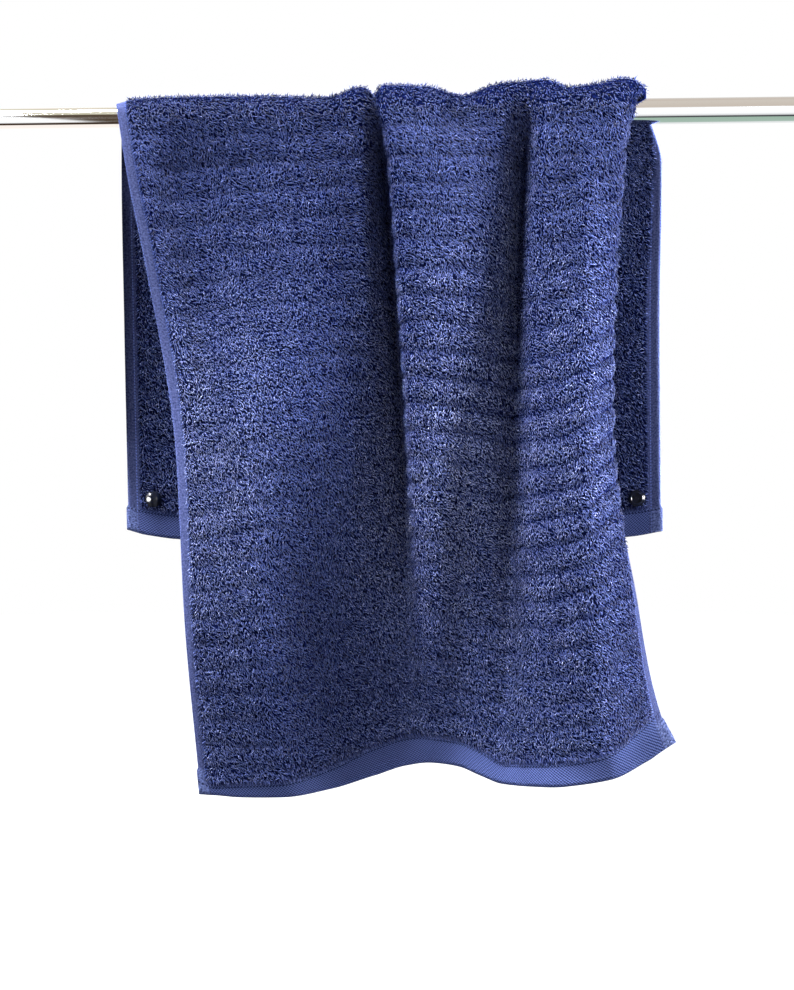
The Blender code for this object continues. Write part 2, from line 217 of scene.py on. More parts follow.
slanted = add_node(
    tree,
    "ShaderNodeMath",
    {0: direction.outputs["X"], 1: WEDGE_FALL, 2: WEDGE_HEIGHT},
    operation="MULTIPLY_ADD",
)
wedge = add_node(
    tree, "ShaderNodeMath", {0: slanted.outputs[0], 1: direction.outputs["Z"]}, operation="ADD"
)
below_wedge = add_node(
    tree,
    "ShaderNodeMapRange",
    {"Value": wedge.outputs[0], "From Min": -WEDGE_BLUR, "From Max": WEDGE_BLUR},
)
above_floor = room_share("Z", *WEDGE_BOTTOM)
window = add_node(
    tree, "ShaderNodeMath", {0: 1.0, 1: below_wedge.outputs["Result"]}, operation="SUBTRACT"
)
window = add_node(
    tree,
    "ShaderNodeMath",
    {0: window.outputs[0], 1: above_floor.outputs["Result"]},
    operation="MULTIPLY",
)
front = mix_colours(tree, window.outputs[0], room_side(FRONT_LEFT, FRONT_RIGHT), WHITE)
back = room_side(BACK_LEFT, BACK_RIGHT)
mirrored = mix_colours(tree, to_back.outputs["Result"], front, back)
light_path = add_node(tree, "ShaderNodeLightPath")
ambient = add_node(
    tree, "ShaderNodeBackground", {"Color": linear(ROOM_TINT), "Strength": ROOM_LIGHT}
)
reflected = add_node(
    tree, "ShaderNodeBackground", {"Color": mirrored, "Strength": ROOM_MIRRORED}
)
seen = add_node(tree, "ShaderNodeBackground", {"Color": WHITE, "Strength": 1.0})
unseen = add_node(
    tree,
    "ShaderNodeMixShader",
    {0: light_path.outputs["Is Glossy Ray"], 1: ambient.outputs[0], 2: reflected.outputs[0]},
)
room = add_node(
    tree,
    "ShaderNodeMixShader",
    {0: light_path.outputs["Is Camera Ray"], 1: unseen.outputs[0], 2: seen.outputs[0]},
)
tree.links.new(room.outputs[0], tree.nodes["World Output"].inputs["Surface"])

camera_data = bpy.data.cameras.new("camera")
camera_data.sensor_fit = "VERTICAL"
camera_data.sensor_height = SENSOR_HEIGHT
camera_data.lens = CAMERA_LENS
camera = bpy.data.objects.new("camera", camera_data)
bpy.context.scene.collection.objects.link(camera)
camera.location = (
    MIDDLE_X + CAMERA_AWAY * math.sin(CAMERA_TURN),
    -CAMERA_AWAY * math.cos(CAMERA_TURN),
    CAMERA_Z,
)
camera.rotation_euler = (math.pi / 2, 0, CAMERA_TURN)
bpy.context.scene.camera = camera
bpy.context.scene.view_settings.view_transform = "Standard"

# Towel: one cotton cloth, 485 by 1000 mm, woven with loops on both faces. Weaving the loops in
# bands gives it ribs from side to side. The selvedges and the hems are woven flat, without loops,
# and each hem is turned up and sewn. It hangs over the rod in its own folds.
WRAP = 20.4
FRONT_DROP = 575.0
BACK_DROP = 370.0
MARGIN = 24.0
SELVEDGE = 10.0
HEM = 22.0
PILE_EDGE = 2.0
TOWEL_WIDTH = 485
# Levels along the cloth, by the share of the drop behind the rod and in front of it.
BACK_LEVELS = (1.0, 0.5, 0.12, 0.0)
FRONT_LEVELS = (0.0, 0.09, 0.24, 0.49, 0.75, 0.955, 1.0)
# Across, in mm from the middle of the drape, of each fold line at: back hem, back half, back top,
# back collar, crest, collar, shoulder, chest, waist, skirt, band and front hem.
ACROSS = {
    "selvedge": (-240, -244, -246, -246, -246.5, -243.5, -234, -215, -190, -181.5, -171, -168.5),
    "border": (-227, -231, -233, -233, -233.5, -230.5, -221, -202.5, -177.5, -169, -158.5, -156),
    "hollow": (-200, -202, -200, -198, -190, -190, -192, -178, -156, -148, -136, -134),
    "left_roll": (-150, -152, -150, -146, -132, -134, -140, -136, -128, -112, -98, -96),
    "slope": (-98, -98, -92, -86, -60, -62, -72, -74, -76, -70, -56, -55),
    "left_lip": (-52, -50, -46, -42, -30, -30, -31, -30, -24, -22, -20, -18),
    "deep_fold": (-28, -26, -24, -22, -20.5, -17, -10, -4, 5, 10, 10, 10),
    "right_lip": (-4, -4, -4, -6, -12, -8, 0, 6.5, 16, 22, 24, 26),
    "ridge": (28, 28, 28, 30, 26, 28, 32, 36, 38, 36, 35, 36),
    "dimple": (62, 62, 62, 60, 58, 59, 60, 62, 60, 56, 54, 54),
    "second_lip": (90, 90, 90, 88, 84, 88, 89, 84, 78, 78, 74, 74),
    "second_fold": (115, 115, 115, 114, 109, 112, 107.5, 104, 102, 98, 92, 92),
    "far_lip": (138, 138, 138, 136, 132, 129, 126, 122, 117, 114, 114, 116),
    "dip": (158, 158, 158, 152, 146, 148, 150, 148, 143, 140, 142, 144),
    "right_roll": (180, 180, 180, 178, 168, 167, 164, 161, 160, 165, 175, 179),
    "margin": (207, 206, 208, 197, 193, 184, 185, 181, 179, 189, 207, 215),
}
# How far each fold line stands out from the rod's axis there, in mm.
OUT = {
    "selvedge": (14, 14, 12, 11.5, 10.8, 11.5, 19, 24, 25, 26, 22, 21),
    "border": (16, 15.5, 13.8, 13.5, 13.6, 13.9, 16, 20, 27, 30, 25, 24),
    "hollow": (20, 18, 15, 14, 15, 14.5, 3, 5, 30, 37, 29, 27),
    "left_roll": (26, 22, 18, 16, 15, 16, 8, 11, 41, 43, 32, 29),
    "slope": (12, 12, 13, 13, 12.7, 17, 16, 20, 38, 22, 11, 9),
    "left_lip": (22, 20, 19, 20, 21.9, 22, 18, 17, 14, 2, -7, -9),
    "deep_fold": (27, 27, 19, 16, 13.8, 12.8, -6, -12, -13, -10, -16, -18),
    "right_lip": (30, 26, 22, 20, 22.6, 25, 27, 26, 24, 8, -14, -18),
    "ridge": (30, 27, 22, 20, 21, 24, 29, 32, 34, 14, -9, -14),
    "dimple": (18, 17, 16, 15, 12.8, 16, 26, 29, 27, 10, -4, -6),
    "second_lip": (24, 24, 21, 20, 21.5, 24, 20, 17, 20, 9, 6, 8),
    "second_fold": (20, 21, 18, 17, 25, 18, -3, -8, 3, 5, 14, 17),
    "far_lip": (26, 25, 23, 22, 25.5, 27, 28, 27, 26, 24, 34, 37),
    "dip": (28, 26, 24, 20, 18.5, 25, 28, 32, 45, 41, 47, 51),
    "right_roll": (20, 20, 20, 19, 20, 26, 30, 37, 51, 52, 51, 50),
    "margin": (15, 16, 17, 19, 25, 28, 27, 30, 37, 42, 34, 31),
}
# How far the margin curls back behind the front half at each level, in degrees.
MARGIN_TURN = (8, 8, 16, 45, 60, 70, 135, 145, 120, 60, 20, -15)
# How far each fold line hangs below the rod's axis at the front and the back hem, and how far the
# ribs sag there halfway down the front, in mm.
HANG = {
    "selvedge": (591.4, 364, 10.0),
    "border": (591.4, 368, 9.0),
    "hollow": (592.3, 372, 5.0),
    "left_roll": (591.5, 374, 0.0),
    "slope": (587.5, 374, -4.0),
    "left_lip": (578.9, 373, -5.0),
    "deep_fold": (571.8, 373, -4.5),
    "right_lip": (569.5, 372, -4.0),
    "ridge": (569.1, 372, -2.0),
    "dimple": (570.4, 372, -1.0),
    "second_lip": (576, 371, 0.5),
    "second_fold": (581, 371, 1.0),
    "far_lip": (579, 371, 1.0),
    "dip": (576, 371, -1.5),
    "right_roll": (570.3, 371, -8.0),
    "margin": (556.8, 369, -16.0),
    "corner": (544, 364.5, -20.0),
}
# How high the woven hem shows at the front below the overhanging pile, at each fold line.
HEM_SEEN = (13, 8, 10.5, 12, 18, 24, 25, 24, 23, 22, 21, 17, 18, 18.5, 20, 27, 30)
RIB_PITCH_ROD = 25.5
RIB_PITCH_FRONT_HEM = 21.0
RIB_PITCH_BACK_HEM = 23.0
# The ribs wander by a share of their pitch, over bumps of a size.
RIB_WANDER = 0.07
RIB_WANDER_SIZE = 60
# How high the groove between two ribs is, where use has flattened them and where they are bold.
RIB_GROOVE_SHARE = (0.66, 0.4)
# The ribs crimp the edges of the folds at the right lip and the margin.
CRIMPED_LIP = 7.0
CRIMPED_MARGIN = 14.4
LIP_CRIMP = 1.6
# Half the thickness of the cloth with its pile and of its woven edges, and how deep the loops go.
PILE_HALF = 3.3
WOVEN_HALF = 1.15
LOOP_DEPTH = 1.3
HEM_END_FLARE = 1.6
CLOTH_COLUMNS = 118
CLOTH_ROW_STEP = 3.3
# How much of each selvedge the pile leaves bare at each level: it leans across the front of the
# left one, and over the whole right one at the rod.
LEFT_SELVEDGE = (10, 10, 10, 10, 9, 8.5, 8, 7.5, 7, 6, 5.5, 5.5)
RIGHT_SELVEDGE = (10, 10, 5, -1, -2, -2, 6, 10, 10, 9, 9, 9)
MM = 0.001


def smooth_curve(knots, values, at):
    """Monotone cubic through the values at the knots, so that no fold overshoots its own lines."""
    knots = np.asarray(knots, float)
    values = np.asarray(values, float)
    at = np.clip(np.atleast_1d(np.asarray(at, float)), knots[0], knots[-1])
    step = np.diff(knots)
    slope = np.diff(values) / step
    before = 2 * step[1:] + step[:-1]
    after = step[1:] + 2 * step[:-1]
    turning = slope[:-1] * slope[1:] > 0
    safe = np.where(turning, slope[:-1], 1.0), np.where(turning, slope[1:], 1.0)
    inner = np.where(turning, (before + after) / (before / safe[0] + after / safe[1]), 0.0)
    tangent = np.concatenate([slope[:1], inner, slope[-1:]])
    i = np.clip(np.searchsorted(knots, at, side="right") - 1, 0, len(knots) - 2)
    t = (at - knots[i]) / step[i]
    start = (2 * t**3 - 3 * t**2 + 1) * values[i] + (t**3 - 2 * t**2 + t) * step[i] * tangent[i]
    end = (3 * t**2 - 2 * t**3) * values[i + 1] + (t**3 - t**2) * step[i] * tangent[i + 1]
    return start + end


LEVEL_WAYS = [-(WRAP + BACK_DROP * share) for share in BACK_LEVELS] + [0.0]
LEVEL_WAYS += [WRAP + FRONT_DROP * share for share in FRONT_LEVELS]
FRONT_HANG, BACK_HANG, RIB_SAG = np.array(list(HANG.values())).T


def cross_section(way):
    """The cloth cut across at a way along it: points across and out, their places in the list of
    fold lines, and their lengths from the left edge, in mm."""
    across = [smooth_curve(LEVEL_WAYS, row, way)[0] for row in ACROSS.values()]
    out = [smooth_curve(LEVEL_WAYS, row, way)[0] for row in OUT.values()]
    chord = np.concatenate([[0], np.cumsum(np.hypot(np.diff(across), np.diff(out)))])
    fine = np.linspace(0, chord[-1], 500)
    x = smooth_curve(chord, across, fine)
    y = smooth_curve(chord, out, fine)
    place = np.interp(fine, chord, np.arange(len(chord)))
    heading = math.atan2(y[-1] - y[-4], x[-1] - x[-4])
    curl = np.linspace(0, MARGIN, 49)[1:]
    turn = math.radians(smooth_curve(LEVEL_WAYS, MARGIN_TURN, way)[0])
    angle = heading - turn * curl / MARGIN
    x = np.concatenate([x, x[-1] + np.cumsum(np.cos(angle)) * curl[0]])
    y = np.concatenate([y, y[-1] + np.cumsum(np.sin(angle)) * curl[0]])
    place = np.concatenate([place, len(chord) - 1 + curl / MARGIN])
    length = np.concatenate([[0], np.cumsum(np.hypot(np.diff(x), np.diff(y)))])
    return x, y, place, length


def hang(way, x, out, place):
    """Points of the draped cloth, in mm, for points of its cross section at a way along it."""
    lines = np.arange(len(FRONT_HANG))
    if abs(way) <= WRAP:
        angle = way / WRAP * math.pi / 2
        y, z = -out * math.sin(angle), out * math.cos(angle)
    elif way > 0:
        y, z = -out, -smooth_curve(lines, FRONT_HANG, place) * (way - WRAP) / FRONT_DROP
    else:
        y, z = out, -smooth_curve(lines, BACK_HANG, place) * (-way - WRAP) / BACK_DROP
    return np.stack([x + MIDDLE_X / MM, y, z], axis=1)


# The middle of the cloth as a net: a row for each 2.5 mm of its way, a column for each 2 mm across.
NET_WAYS = np.linspace(-(WRAP + BACK_DROP), WRAP + FRONT_DROP, 395)
NET_SIDES = np.linspace(0, 1, 245)
net_points = []
net_places = []
net_widths = []
for way in NET_WAYS:
    x, out, place, length = cross_section(way)
    here = NET_SIDES * length[-1]
    spots = np.interp(here, length, place)
    net_points.append(hang(way, np.interp(here, length, x), np.interp(here, length, out), spots))
    net_places.append(spots)
    net_widths.append(length[-1])
net_points = np.array(net_points)
net_places = np.array(net_places)
net_widths = np.array(net_widths)
net_down = np.gradient(net_points, axis=0)
net_over = np.gradient(net_points, axis=1)
net_normals = np.cross(net_down, net_over)
net_normals /= np.linalg.norm(net_normals, axis=2, keepdims=True)


def on_net(table, ways, sides):
    """Values of a net's table at ways along the cloth and shares of the way across it."""
    i = (np.asarray(ways) - NET_WAYS[0]) / (NET_WAYS[1] - NET_WAYS[0])
    j = np.asarray(sides) * (len(NET_SIDES) - 1)
    i0 = np.clip(i.astype(int), 0, len(NET_WAYS) - 2)
    j0 = np.clip(j.astype(int), 0, len(NET_SIDES) - 2)
    i, j = (i - i0)[..., None], (j - j0)[..., None]
    table = table if table.ndim == 3 else table[..., None]
    top = table[i0, j0] * (1 - j) + table[i0, j0 + 1] * j
    low = table[i0 + 1, j0] * (1 - j) + table[i0 + 1, j0 + 1] * j
    return top * (1 - i) + low * i


def ease(value):
    """A soft step from 0 to 1 as the value runs from 0 to 1."""
    value = np.clip(value, 0, 1)
    return value * value * (3 - 2 * value)


def wander(a, b, size, seed):
    """Smooth noise of about -1 to 1 over two lengths, with bumps of about a size: the sum of
    seven bent waves, each on its own heading."""
    random = np.random.default_rng(seed)
    total = 0
    for _ in range(7):
        turn = random.uniform(0, 2 * math.pi)
        pitch = size * random.uniform(0.8, 1.6)
        phase = random.uniform(0, 2 * math.pi)
        aside = a * math.sin(turn) - b * math.cos(turn)
        ahead = a * math.cos(turn) + b * math.sin(turn)
        bend = np.sin(aside * 2 * math.pi / (pitch * 2.3) + phase)
        total = total + np.sin(ahead * 2 * math.pi / pitch + phase + bend)
    return total / 4.0


def rib_wave(ways, sides, places):
    """1 on the crown of a rib and 0 in the groove between two."""
    sag = smooth_curve(np.arange(len(RIB_SAG)), RIB_SAG, places.ravel()).reshape(places.shape)
    share = np.clip((ways - WRAP) / FRONT_DROP, 0, 1)
    level = ways - sag * 4 * share * (1 - share)
    end_pitch = np.where(ways > 0, RIB_PITCH_FRONT_HEM, RIB_PITCH_BACK_HEM)
    drop = np.where(ways > 0, FRONT_DROP, BACK_DROP)
    shrink = (RIB_PITCH_ROD - end_pitch) / (WRAP + drop)
    ribs = -np.log(1 - shrink * np.abs(level) / RIB_PITCH_ROD) / shrink
    ribs = ribs + RIB_WANDER * wander(ways, sides * TOWEL_WIDTH, RIB_WANDER_SIZE, 4)
    return np.abs(np.cos(math.pi * ribs)) ** 0.8


def rib_boldness(ways, sides):
    """0 where use has flattened the ribs and 1 where they are boldest, to the lower right."""
    from_left = 0.4 + 0.15 * ease((ways - 250) / 150)
    below_rod = ease((ways - 60) / 220)
    above_hem = 1 - 0.65 * ease((ways - 430) / 110)
    return below_rod * ease((sides - from_left) / 0.3) * above_hem


def half_height(ways, sides, widths):
    """Half the thickness of the cloth with its pile, in mm, the share of full pile there, the
    rib wave, and how far the place is from the side, past the selvedge and past the hem."""
    across = sides * widths
    from_side = np.minimum(across, widths - across)
    from_end = np.minimum(NET_WAYS[-1] - ways, ways - NET_WAYS[0])
    places = on_net(net_places, ways, sides)[..., 0]
    lines = np.arange(len(HEM_SEEN))
    hem = smooth_curve(lines, HEM_SEEN, places.ravel()).reshape(places.shape)
    hem = np.where(ways > 0, hem, HEM)
    bare_left = smooth_curve(LEVEL_WAYS, LEFT_SELVEDGE, ways.ravel()).reshape(ways.shape)
    bare_right = smooth_curve(LEVEL_WAYS, RIGHT_SELVEDGE, ways.ravel()).reshape(ways.shape)
    past_side = from_side - np.where(sides > 0.5, bare_right, bare_left)
    past_hem = from_end - hem
    pile = ease(past_side / PILE_EDGE) * ease(past_hem / PILE_EDGE)
    wave = rib_wave(ways, sides, places)
    flattened, bold = RIB_GROOVE_SHARE
    groove = flattened + (bold - flattened) * rib_boldness(ways, sides)
    full = PILE_HALF * (groove + (1 - groove) * wave)
    lip = np.exp(-(((places - CRIMPED_LIP) / 0.4) ** 2)) + ease((places - CRIMPED_MARGIN) / 0.8)
    lip = lip * ease((ways - 10) / 30) * (1 - ease((ways - 330) / 90))
    full = full + LIP_CRIMP * lip * (wave - 0.5)
    return WOVEN_HALF + (full - WOVEN_HALF) * pile, pile, wave, from_side, past_side, past_hem


cloth_length = NET_WAYS[-1] - NET_WAYS[0]
rows = np.linspace(NET_WAYS[0], NET_WAYS[-1], int(cloth_length / CLOTH_ROW_STEP) + 1)
edge_steps = np.array([0, 3.4, 6.7, SELVEDGE, SELVEDGE + PILE_EDGE])
widths = np.interp(rows, NET_WAYS, net_widths)
sides = []
for width in widths:
    inside = np.linspace(edge_steps[-1], width - edge_steps[-1], CLOTH_COLUMNS)[1:-1]
    sides.append(np.concatenate([edge_steps, inside, width - edge_steps[::-1]]) / width)
sides = np.array(sides)
ways = np.repeat(rows[:, None], sides.shape[1], axis=1)
widths = np.repeat(widths[:, None], sides.shape[1], axis=1)
middle = on_net(net_points, ways, sides)
normal = on_net(net_normals, ways, sides)
half, pile, wave, from_side, past_side, past_hem = half_height(ways, sides, widths)
# The turned-up ends of the hem are thicker and stand a little wider than the selvedge.
over = on_net(net_over, ways, sides)
over /= np.linalg.norm(over, axis=2, keepdims=True)
from_end = np.minimum(NET_WAYS[-1] - ways, ways - NET_WAYS[0])
hem_end = ease((HEM - from_end) / 2.5) * (1 - ease(from_side / SELVEDGE))
middle = middle + over * (np.where(sides > 0.5, 1, -1) * HEM_END_FLARE * hem_end)[..., None]
under_loops = np.maximum(half - LOOP_DEPTH * pile, WOVEN_HALF * (1 - 0.25 * pile))
outer = middle + normal * under_loops[..., None]
inner = middle - normal * under_loops[..., None]

count_down, count_over = ways.shape
index = np.arange(count_down * count_over).reshape(ways.shape)
a, b, c, d = index[:-1, :-1], index[:-1, 1:], index[1:, 1:], index[1:, :-1]
outer_faces = np.stack([a, d, c, b], axis=-1).reshape(-1, 4)
inner_faces = np.stack([a, b, c, d], axis=-1).reshape(-1, 4) + index.size
rim = np.concatenate([index[0, :], index[1:, -1], index[-1, -2::-1], index[-2:0:-1, 0]])
after = np.roll(rim, -1)
rim_faces = np.stack([rim, after, after + index.size, rim + index.size], axis=-1)
faces = np.concatenate([outer_faces, inner_faces, rim_faces])


def quick_mesh(name, points, faces):
    """A mesh object from arrays of points in mm and faces of equal size."""
    size = faces.shape[1]
    mesh = bpy.data.meshes.new(name)
    mesh.vertices.add(len(points))
    mesh.vertices.foreach_set("co", (points * MM).astype(np.float32).ravel())
    mesh.loops.add(faces.size)
    mesh.loops.foreach_set("vertex_index", faces.astype(np.int32).ravel())
    mesh.polygons.add(len(faces))
    mesh.polygons.foreach_set("loop_start", np.arange(0, faces.size, size, dtype=np.int32))
    mesh.update(calc_edges=True)
    mesh.shade_smooth()
    piece = bpy.data.objects.new(name, mesh)
    bpy.context.scene.collection.objects.link(piece)
    return piece


def set_values(mesh, name, values):
    """A float for each point of a mesh, which its material reads by name."""
    attribute = mesh.attributes.new(name, "FLOAT", "POINT")
    attribute.data.foreach_set("value", np.asarray(values, np.float32).ravel())


def set_map(mesh, name, places):
    """A UV map from a place for each corner of the faces."""
    layer = mesh.uv_layers.new(name=name)
    layer.uv.foreach_set("vector", np.asarray(places, np.float32).ravel())


points = np.concatenate([outer.reshape(-1, 3), inner.reshape(-1, 3)])
cloth = quick_mesh("towel_cloth", points, faces)


def twice(table):
    """A table's values for the points of the outer face, then for those of the inner face."""
    return np.concatenate([table.ravel(), table.ravel()])


# Painted light and shade on the front of the cloth: its tone is darkened where shade falls and
# paled where light falls. Soft patches, each with the middle's way along the cloth, the middle's mm
# from the drape's middle, the reach along, the reach across, and the change of tone.
PAINTED_LIGHT_BASE = 1.02
PAINTED_SHADE_PATCHES = {
    "over_the_rod": (60, 20, 110, 900, -0.42),
    "upper_left": (170, -200, 70, 50, -0.20),
    "left_roll": (300, -180, 130, 60, 0.12),
    "slope": (400, -82, 190, 32, -0.42),
    "beside_the_fold": (240, -50, 130, 25, -0.38),
    "ridge": (340, 55, 120, 45, 0.12),
    "second_lip": (130, 98, 80, 16, 0.25),
    "margin": (400, 215, 330, 38, -0.52),
    "above_the_hem": (530, -60, 105, 230, -0.26),
    "right_hem": (590, 215, 25, 60, -0.25),
}
PAINTED_SHADE_LIMITS = (0.36, 1.15)
# Painted light: the right of the back half is paler.
BACK_RIGHT_PAINTED_LIGHT = 1.1


def painted_light_and_shade(ways, across):
    """The painted light and shade at ways along the front and places across it, in mm."""
    tone = np.full(np.shape(ways), PAINTED_LIGHT_BASE)
    for way, middle, reach_along, reach_across, change in PAINTED_SHADE_PATCHES.values():
        away = ((ways - way) / reach_along) ** 2 + ((across - middle) / reach_across) ** 2
        tone = tone + change * np.exp(-away)
    return np.clip(tone, *PAINTED_SHADE_LIMITS)


set_values(cloth.data, "pile", twice(pile))
set_values(cloth.data, "from_side", twice(from_side) * MM)
set_values(cloth.data, "into_hem", -twice(past_hem) * MM)
set_values(cloth.data, "hem_end", twice(hem_end > 0.02))
# Painted light and shade in the woven colour: the patches on the front, and a paler right on the
# back half.
front_painted_lighting = painted_light_and_shade(ways, middle[..., 0] - MIDDLE_X / MM)
back_painted_light = np.where(sides > 0.5, BACK_RIGHT_PAINTED_LIGHT, 1)
set_values(cloth.data, "painted_lighting", twice(np.where(ways > 0, front_painted_lighting, back_painted_light)))
flat_u = twice(sides * widths) * MM
flat_v = twice(ways - NET_WAYS[0]) * MM
set_map(cloth.data, "flat", np.stack([flat_u[faces], flat_v[faces]], axis=-1))
map_u = np.concatenate([sides.ravel() * 0.46 + 0.01, sides.ravel() * 0.46 + 0.51])
map_v = twice(np.linspace(0.02, 0.98, count_down)[:, None] * np.ones(count_over))
rim_start = len(outer_faces) + len(inner_faces)
bake_map = np.stack([map_u[faces], map_v[faces]], axis=-1)
rim_shift = np.array([[0, 0], [0, 0], [0.001, 0], [0.001, 0]])
on_face = rim_faces % index.size
bake_map[rim_start:] = np.stack([map_u[on_face], map_v[on_face]], axis=-1) - rim_shift
set_map(cloth.data, "OFBake", bake_map)

# Cotton terry, woven and piece dyed: the ground between the loops is painted dark, as the shade
# they cast on it. Hems are a 1.7 mm twill, selvedges a close plain weave with a chained line inside
# them and a paler lip.
GROUND_DARK, GROUND_PALE = "030618", "0A1138"
TWILL_DARK, TWILL_PALE = "171D3C", "4A5687"
SELVEDGE_DARK, SELVEDGE_PALE = "1E2444", "444B70"
CHAIN_PALE = "5363A0"
HEM_END_DARK, HEM_END_PALE = "262D4E", "58638F"
STITCH_DARK = "0A0E22"
TWILL_PITCH = 1.7
TWILL_HEADING, CROSS_HEADING = -38, 47
CHAIN_PITCH = 2.6
STITCH_PITCH = 2.8
YARN_SCALE = 620.0
SPECK_SCALE = 520.0
# Where the selvedge is paler: at its lip and along the chained line, in mm from the side.
CHAIN_STOPS = (
    (0.0, "FFFFFF"), (0.5, "808080"), (0.9, "000000"), (7.6, "000000"), (8.0, "FFFFFF"),
    (8.5, "FFFFFF"), (8.9, "000000"),
)
cloth_material, tree, shader = new_material("cotton_terry_ground")
flat = add_node(tree, "ShaderNodeUVMap", uv_map="flat")
thing = add_node(tree, "ShaderNodeTexCoord")
specks = add_node(
    tree,
    "ShaderNodeTexNoise",
    {"Vector": thing.outputs["Object"], "Scale": SPECK_SCALE, "Detail": 2.0},
)
ground = add_node(tree, "ShaderNodeValToRGB", {"Fac": specks.outputs["Fac"]})
set_ramp(ground, ((0.42, GROUND_DARK), (0.66, GROUND_PALE)))


def weave_wave(degrees, pitch, distortion):
    """Bands across a turned direction of the flat cloth, at a pitch in mm."""
    turned_map = add_node(
        tree,
        "ShaderNodeMapping",
        {"Vector": flat.outputs["UV"], "Rotation": (0, 0, math.radians(degrees))},
    )
    settings = {
        "Vector": turned_map.outputs["Vector"],
        "Scale": 100 * math.pi / pitch,
        "Distortion": distortion,
        "Detail": 1.0,
        "Detail Scale": 1.5,
    }
    return add_node(tree, "ShaderNodeTexWave", settings, bands_direction="Y")


twill_wave = weave_wave(TWILL_HEADING, TWILL_PITCH, 1.0)
cross_wave = weave_wave(CROSS_HEADING, TWILL_PITCH * 1.2, 1.5)
twill_height = add_node(
    tree, "ShaderNodeMix", {0: 0.35, 2: twill_wave.outputs["Fac"], 3: cross_wave.outputs["Fac"]}
)
twill = add_node(tree, "ShaderNodeValToRGB", {"Fac": twill_height.outputs[0]})
set_ramp(twill, ((0.15, TWILL_DARK), (0.85, TWILL_PALE)))
picks = add_node(
    tree,
    "ShaderNodeTexNoise",
    {"Vector": flat.outputs["UV"], "Scale": YARN_SCALE, "Detail": 2.0},
)
selvedge = add_node(tree, "ShaderNodeValToRGB", {"Fac": picks.outputs["Fac"]})
set_ramp(selvedge, ((0.3, SELVEDGE_DARK), (0.7, SELVEDGE_PALE)))
from_side_place = add_node(tree, "ShaderNodeAttribute", attribute_name="from_side")
in_selvedge = add_node(
    tree,
    "ShaderNodeMapRange",
    {"Value": from_side_place.outputs["Fac"], "From Max": SELVEDGE * MM},
)
chain_place = add_node(tree, "ShaderNodeValToRGB", {"Fac": in_selvedge.outputs["Result"]})
set_ramp(chain_place, [(at / SELVEDGE, grey) for at, grey in CHAIN_STOPS])
chain_links = weave_wave(0, CHAIN_PITCH, 0.0)
chained = add_node(
    tree,
    "ShaderNodeMath",
    {0: chain_place.outputs["Color"], 1: chain_links.outputs["Fac"]},
    operation="MULTIPLY",
)
edge_weave = mix_colours(tree, chained.outputs[0], selvedge.outputs["Color"], linear(CHAIN_PALE))
turned_end = add_node(tree, "ShaderNodeValToRGB", {"Fac": picks.outputs["Fac"]})
set_ramp(turned_end, ((0.35, HEM_END_DARK), (0.65, HEM_END_PALE)))
hem_end_share = add_node(tree, "ShaderNodeAttribute", attribute_name="hem_end")
edge_weave = mix_colours(
    tree, hem_end_share.outputs["Fac"], edge_weave, turned_end.outputs["Color"]
)
into_hem = add_node(tree, "ShaderNodeAttribute", attribute_name="into_hem")
in_hem = add_node(
    tree,
    "ShaderNodeMapRange",
    {"Value": into_hem.outputs["Fac"], "From Min": -1 * MM, "From Max": 0},
)
past_selvedge = add_node(
    tree,
    "ShaderNodeMapRange",
    {
        "Value": from_side_place.outputs["Fac"],
        "From Min": (SELVEDGE - 0.5) * MM,
        "From Max": SELVEDGE * MM,
    },
)
in_twill = add_node(
    tree,
    "ShaderNodeMath",
    {0: in_hem.outputs["Result"], 1: past_selvedge.outputs["Result"]},
    operation="MULTIPLY",
)
plain_woven = mix_colours(tree, in_twill.outputs[0], edge_weave, twill.outputs["Color"])
stitch_place = add_node(
    tree, "ShaderNodeMapRange", {"Value": into_hem.outputs["Fac"], "From Max": 4 * MM}
)
stitch_row = add_node(tree, "ShaderNodeValToRGB", {"Fac": stitch_place.outputs["Result"]})
set_ramp(stitch_row, ((0.25, "000000"), (0.35, "FFFFFF"), (0.55, "FFFFFF"), (0.65, "000000")))
stitches = weave_wave(90, STITCH_PITCH, 0.0)
stitched = add_node(
    tree,
    "ShaderNodeMath",
    {0: stitch_row.outputs["Color"], 1: stitches.outputs["Fac"]},
    operation="MULTIPLY",
)
woven = mix_colours(tree, stitched.outputs[0], plain_woven, linear(STITCH_DARK))
pile_share = add_node(tree, "ShaderNodeAttribute", attribute_name="pile")
# The painted light and shade darken or pale the woven colour.
painted_lighting_attribute = add_node(tree, "ShaderNodeAttribute", attribute_name="painted_lighting")
painted_woven = add_node(
    tree, "ShaderNodeVectorMath", {0: woven, "Scale": painted_lighting_attribute.outputs["Fac"]}, operation="SCALE"
)
colour = mix_colours(
    tree, pile_share.outputs["Fac"], painted_woven.outputs["Vector"], ground.outputs["Color"]
)
relief = add_node(
    tree,
    "ShaderNodeMix",
    {"Factor": in_hem.outputs["Result"], 2: picks.outputs["Fac"], 3: twill_height.outputs[0]},
)
bump = add_node(
    tree,
    "ShaderNodeBump",
    {"Strength": 0.5, "Distance": 0.5 * MM, "Height": relief.outputs[0]},
)
tree.links.new(colour, shader.inputs["Base Color"])
tree.links.new(bump.outputs["Normal"], shader.inputs["Normal"])
shader.inputs["Roughness"].default_value = 0.92
shader.inputs["Specular IOR Level"].default_value = 0.0
cloth.data.materials.append(cloth_material)
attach(cloth, "root")
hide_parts("towel")

